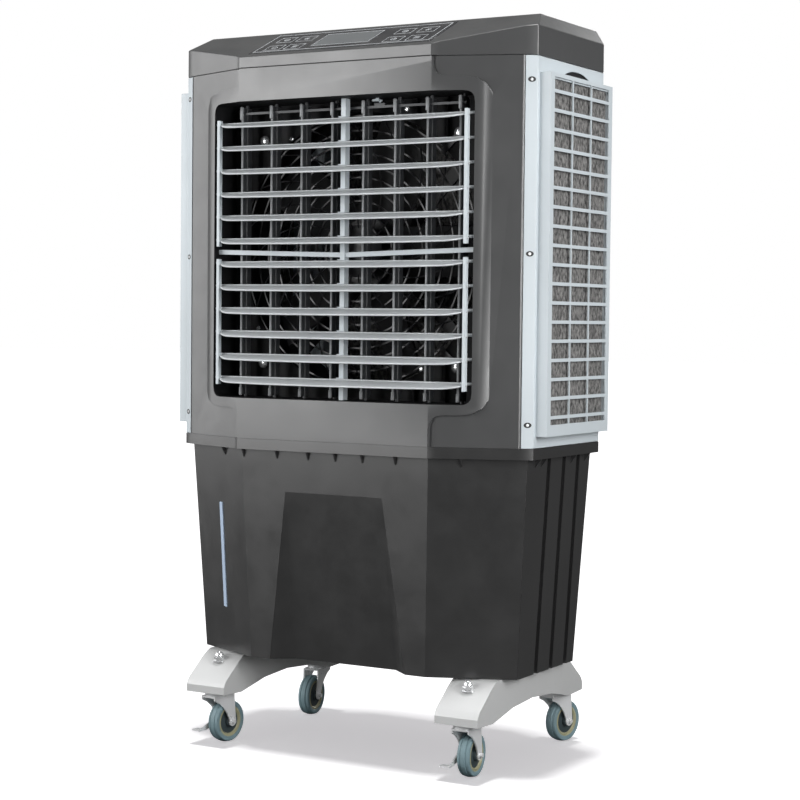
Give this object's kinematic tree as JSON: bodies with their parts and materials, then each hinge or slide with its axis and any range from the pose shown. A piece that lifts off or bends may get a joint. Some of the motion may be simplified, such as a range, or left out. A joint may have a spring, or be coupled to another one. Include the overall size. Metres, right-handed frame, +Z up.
{
  "type": "evaporative_cooler",
  "caption": "Evaporative air cooler on swivelling casters: dark cabinet with tilting louvres, side cooling pads and a tapered water tank",
  "frame": {"origin": "on the floor plane, at the centre of the whole part's bounding box seen from above", "axes": "+Z up; the air outlet faces -Y; +X is to the right for someone facing the outlet"},
  "size_m": [0.736, 0.428, 1.254],
  "materials": {
    "dark_plastic": "moulded ABS, fine satin texture",
    "tank_plastic": "blow-moulded polyethylene, satin",
    "white_plastic": "moulded, light satin",
    "louvre_plastic": "moulded, smooth satin",
    "vane_plastic": "moulded grey plastic",
    "black_plastic": "moulded black plastic",
    "panel_film": "printed membrane sheet, semi-gloss",
    "pad_media": "corrugated cellulose, matte",
    "sight_window": "translucent strip, smooth",
    "zinc_steel": "pressed steel, bright zinc plated",
    "tread": "moulded grey-blue tread",
    "guard_wire": "black powder coat"
  },
  "bodies": {
    "cabinet": {"top_cover": "dark_plastic", "control_panel": "panel_film", "front_bezel": "dark_plastic", "grille_cross": "white_plastic", "swing_motor": "zinc_steel", "fan_motor": "zinc_steel", "fan_guard": "guard_wire", "fan_deck": "black_plastic", "side_panel_left": "white_plastic", "side_panel_right": "white_plastic", "rear_panel": "white_plastic", "water_tank": "tank_plastic", "level_window": "sight_window", "water_pump": "black_plastic", "water_distributor": "white_plastic", "foot_left": "white_plastic", "foot_right": "white_plastic"},
    "louvre_01": {"louvre_01": "louvre_plastic"},
    "louvre_02": {"louvre_02": "louvre_plastic"},
    "louvre_03": {"louvre_03": "louvre_plastic"},
    "louvre_04": {"louvre_04": "louvre_plastic"},
    "louvre_05": {"louvre_05": "louvre_plastic"},
    "louvre_06": {"louvre_06": "louvre_plastic"},
    "link_bars_upper": {"link_bar_upper_left": "white_plastic", "link_bar_upper_right": "white_plastic"},
    "louvre_07": {"louvre_07": "louvre_plastic"},
    "louvre_08": {"louvre_08": "louvre_plastic"},
    "louvre_09": {"louvre_09": "louvre_plastic"},
    "louvre_10": {"louvre_10": "louvre_plastic"},
    "louvre_11": {"louvre_11": "louvre_plastic"},
    "louvre_12": {"louvre_12": "louvre_plastic"},
    "link_bars_lower": {"link_bar_lower_left": "white_plastic", "link_bar_lower_right": "white_plastic"},
    "vane_1": {"vane_1": "vane_plastic"},
    "vane_2": {"vane_2": "vane_plastic"},
    "vane_3": {"vane_3": "vane_plastic"},
    "vane_4": {"vane_4": "vane_plastic"},
    "vane_5": {"vane_5": "vane_plastic"},
    "vane_6": {"vane_6": "vane_plastic"},
    "vane_7": {"vane_7": "vane_plastic"},
    "vane_8": {"vane_8": "vane_plastic"},
    "swing_rod": {"swing_rod": "vane_plastic"},
    "swing_crank": {"swing_crank": "white_plastic"},
    "fan": {"fan_impeller": "black_plastic"},
    "pad_frame_left": {"pad_frame_left": "white_plastic", "pad_left": "pad_media"},
    "pad_frame_right": {"pad_frame_right": "white_plastic", "pad_right": "pad_media"},
    "pad_frame_rear": {"pad_frame_rear": "white_plastic", "pad_rear": "pad_media"},
    "caster_front_left": {"caster_fork_front_left": "zinc_steel"},
    "wheel_front_left": {"caster_wheel_front_left": "tread"},
    "brake_front_left": {"brake_pedal_front_left": "zinc_steel"},
    "caster_front_right": {"caster_fork_front_right": "zinc_steel"},
    "wheel_front_right": {"caster_wheel_front_right": "tread"},
    "brake_front_right": {"brake_pedal_front_right": "zinc_steel"},
    "caster_rear_left": {"caster_fork_rear_left": "zinc_steel"},
    "wheel_rear_left": {"caster_wheel_rear_left": "tread"},
    "caster_rear_right": {"caster_fork_rear_right": "zinc_steel"},
    "wheel_rear_right": {"caster_wheel_rear_right": "tread"}
  },
  "joints": [
    {"name": "louvre_01_tilt", "type": "hinge", "parent": "cabinet", "child": "louvre_01", "pos_m": [0, -0.17749, 1.089], "axis": [1, 0, 0], "range_deg": [-56, 24]},
    {"name": "louvre_02_tilt", "type": "hinge", "parent": "cabinet", "child": "louvre_02", "pos_m": [0, -0.17749, 1.049], "axis": [1, 0, 0], "range_deg": [-56, 24]},
    {"name": "louvre_03_tilt", "type": "hinge", "parent": "cabinet", "child": "louvre_03", "pos_m": [0, -0.17749, 1.009], "axis": [1, 0, 0], "range_deg": [-56, 24]},
    {"name": "louvre_04_tilt", "type": "hinge", "parent": "cabinet", "child": "louvre_04", "pos_m": [0, -0.17749, 0.969], "axis": [1, 0, 0], "range_deg": [-56, 24]},
    {"name": "louvre_05_tilt", "type": "hinge", "parent": "cabinet", "child": "louvre_05", "pos_m": [0, -0.17749, 0.929], "axis": [1, 0, 0], "range_deg": [-56, 24]},
    {"name": "louvre_06_tilt", "type": "hinge", "parent": "cabinet", "child": "louvre_06", "pos_m": [0, -0.17749, 0.889], "axis": [1, 0, 0], "range_deg": [-56, 24]},
    {"name": "link_bars_upper_pivot", "type": "hinge", "parent": "louvre_01", "child": "link_bars_upper", "pos_m": [0, -0.18806, 1.08597], "axis": [1, 0, 0], "range_deg": [-24, 56]},
    {"name": "louvre_07_tilt", "type": "hinge", "parent": "cabinet", "child": "louvre_07", "pos_m": [0, -0.17749, 0.849], "axis": [1, 0, 0], "range_deg": [-56, 24]},
    {"name": "louvre_08_tilt", "type": "hinge", "parent": "cabinet", "child": "louvre_08", "pos_m": [0, -0.17749, 0.809], "axis": [1, 0, 0], "range_deg": [-56, 24]},
    {"name": "louvre_09_tilt", "type": "hinge", "parent": "cabinet", "child": "louvre_09", "pos_m": [0, -0.17749, 0.769], "axis": [1, 0, 0], "range_deg": [-56, 24]},
    {"name": "louvre_10_tilt", "type": "hinge", "parent": "cabinet", "child": "louvre_10", "pos_m": [0, -0.17749, 0.729], "axis": [1, 0, 0], "range_deg": [-56, 24]},
    {"name": "louvre_11_tilt", "type": "hinge", "parent": "cabinet", "child": "louvre_11", "pos_m": [0, -0.17749, 0.689], "axis": [1, 0, 0], "range_deg": [-56, 24]},
    {"name": "louvre_12_tilt", "type": "hinge", "parent": "cabinet", "child": "louvre_12", "pos_m": [0, -0.17749, 0.649], "axis": [1, 0, 0], "range_deg": [-56, 24]},
    {"name": "link_bars_lower_pivot", "type": "hinge", "parent": "louvre_07", "child": "link_bars_lower", "pos_m": [0, -0.18806, 0.84597], "axis": [1, 0, 0], "range_deg": [-24, 56]},
    {"name": "vane_1_swing", "type": "hinge", "parent": "cabinet", "child": "vane_1", "pos_m": [-0.217, -0.14449, 0.869], "axis": [0, 0, 1], "range_deg": [-40, 40]},
    {"name": "vane_2_swing", "type": "hinge", "parent": "cabinet", "child": "vane_2", "pos_m": [-0.155, -0.14449, 0.869], "axis": [0, 0, 1], "range_deg": [-40, 40]},
    {"name": "vane_3_swing", "type": "hinge", "parent": "cabinet", "child": "vane_3", "pos_m": [-0.093, -0.14449, 0.869], "axis": [0, 0, 1], "range_deg": [-40, 40]},
    {"name": "vane_4_swing", "type": "hinge", "parent": "cabinet", "child": "vane_4", "pos_m": [-0.031, -0.14449, 0.869], "axis": [0, 0, 1], "range_deg": [-40, 40]},
    {"name": "vane_5_swing", "type": "hinge", "parent": "cabinet", "child": "vane_5", "pos_m": [0.031, -0.14449, 0.869], "axis": [0, 0, 1], "range_deg": [-40, 40]},
    {"name": "vane_6_swing", "type": "hinge", "parent": "cabinet", "child": "vane_6", "pos_m": [0.093, -0.14449, 0.869], "axis": [0, 0, 1], "range_deg": [-40, 40]},
    {"name": "vane_7_swing", "type": "hinge", "parent": "cabinet", "child": "vane_7", "pos_m": [0.155, -0.14449, 0.869], "axis": [0, 0, 1], "range_deg": [-40, 40]},
    {"name": "vane_8_swing", "type": "hinge", "parent": "cabinet", "child": "vane_8", "pos_m": [0.217, -0.14449, 0.869], "axis": [0, 0, 1], "range_deg": [-40, 40]},
    {"name": "swing_rod_pivot", "type": "hinge", "parent": "vane_1", "child": "swing_rod", "pos_m": [-0.217, -0.15349, 1.109], "axis": [0, 0, 1], "range_deg": [-40, 40]},
    {"name": "swing_crank_spin", "type": "hinge", "parent": "cabinet", "child": "swing_crank", "pos_m": [0.054, -0.15349, 1.12], "axis": [0, 0, 1], "continuous": true},
    {"name": "fan_spin", "type": "hinge", "parent": "cabinet", "child": "fan", "pos_m": [0, -0.07249, 0.869], "axis": [0, 1, 0], "continuous": true},
    {"name": "pad_frame_left_pull", "type": "slide", "parent": "cabinet", "child": "pad_frame_left", "axis": [-1, 0, 0], "range_m": [0, 0.1]},
    {"name": "pad_frame_right_pull", "type": "slide", "parent": "cabinet", "child": "pad_frame_right", "axis": [1, 0, 0], "range_m": [0, 0.1]},
    {"name": "pad_frame_rear_pull", "type": "slide", "parent": "cabinet", "child": "pad_frame_rear", "axis": [0, 1, 0], "range_m": [0, 0.1]},
    {"name": "caster_front_left_swivel", "type": "hinge", "parent": "cabinet", "child": "caster_front_left", "pos_m": [-0.25, -0.18049, 0.084], "axis": [0, 0, 1], "continuous": true},
    {"name": "wheel_front_left_roll", "type": "hinge", "parent": "caster_front_left", "child": "wheel_front_left", "pos_m": [-0.24683, -0.15468, 0.0375], "axis": [0.9925, -0.1219, 0], "continuous": true},
    {"name": "brake_front_left_press", "type": "hinge", "parent": "caster_front_left", "child": "brake_front_left", "pos_m": [-0.24683, -0.15468, 0.0375], "axis": [0.9925, -0.1219, 0], "range_deg": [-8, 8]},
    {"name": "caster_front_right_swivel", "type": "hinge", "parent": "cabinet", "child": "caster_front_right", "pos_m": [0.25, -0.18049, 0.084], "axis": [0, 0, 1], "continuous": true},
    {"name": "wheel_front_right_roll", "type": "hinge", "parent": "caster_front_right", "child": "wheel_front_right", "pos_m": [0.24801, -0.15457, 0.0375], "axis": [0.9971, 0.0767, 0], "continuous": true},
    {"name": "brake_front_right_press", "type": "hinge", "parent": "caster_front_right", "child": "brake_front_right", "pos_m": [0.24801, -0.15457, 0.0375], "axis": [0.9971, 0.0767, 0], "range_deg": [-8, 8]},
    {"name": "caster_rear_left_swivel", "type": "hinge", "parent": "cabinet", "child": "caster_rear_left", "pos_m": [-0.25, 0.15151, 0.084], "axis": [0, 0, 1], "continuous": true},
    {"name": "wheel_rear_left_roll", "type": "hinge", "parent": "caster_rear_left", "child": "wheel_rear_left", "pos_m": [-0.24728, 0.12565, 0.0375], "axis": [-0.9945, -0.1045, 0], "continuous": true},
    {"name": "caster_rear_right_swivel", "type": "hinge", "parent": "cabinet", "child": "caster_rear_right", "pos_m": [0.25, 0.15151, 0.084], "axis": [0, 0, 1], "continuous": true},
    {"name": "wheel_rear_right_roll", "type": "hinge", "parent": "caster_rear_right", "child": "wheel_rear_right", "pos_m": [0.25585, 0.17684, 0.0375], "axis": [0.9744, -0.225, 0], "continuous": true}
  ],
  "couplings": [
    {"joint": "louvre_02_tilt", "follows": "louvre_01_tilt", "ratio": 1},
    {"joint": "louvre_03_tilt", "follows": "louvre_01_tilt", "ratio": 1},
    {"joint": "louvre_04_tilt", "follows": "louvre_01_tilt", "ratio": 1},
    {"joint": "louvre_05_tilt", "follows": "louvre_01_tilt", "ratio": 1},
    {"joint": "louvre_06_tilt", "follows": "louvre_01_tilt", "ratio": 1},
    {"joint": "link_bars_upper_pivot", "follows": "louvre_01_tilt", "ratio": -1},
    {"joint": "louvre_08_tilt", "follows": "louvre_07_tilt", "ratio": 1},
    {"joint": "louvre_09_tilt", "follows": "louvre_07_tilt", "ratio": 1},
    {"joint": "louvre_10_tilt", "follows": "louvre_07_tilt", "ratio": 1},
    {"joint": "louvre_11_tilt", "follows": "louvre_07_tilt", "ratio": 1},
    {"joint": "louvre_12_tilt", "follows": "louvre_07_tilt", "ratio": 1},
    {"joint": "link_bars_lower_pivot", "follows": "louvre_07_tilt", "ratio": -1},
    {"joint": "vane_2_swing", "follows": "vane_1_swing", "ratio": 1},
    {"joint": "vane_3_swing", "follows": "vane_1_swing", "ratio": 1},
    {"joint": "vane_4_swing", "follows": "vane_1_swing", "ratio": 1},
    {"joint": "vane_5_swing", "follows": "vane_1_swing", "ratio": 1},
    {"joint": "vane_6_swing", "follows": "vane_1_swing", "ratio": 1},
    {"joint": "vane_7_swing", "follows": "vane_1_swing", "ratio": 1},
    {"joint": "vane_8_swing", "follows": "vane_1_swing", "ratio": 1},
    {"joint": "swing_rod_pivot", "follows": "vane_1_swing", "ratio": -1}
  ]
}
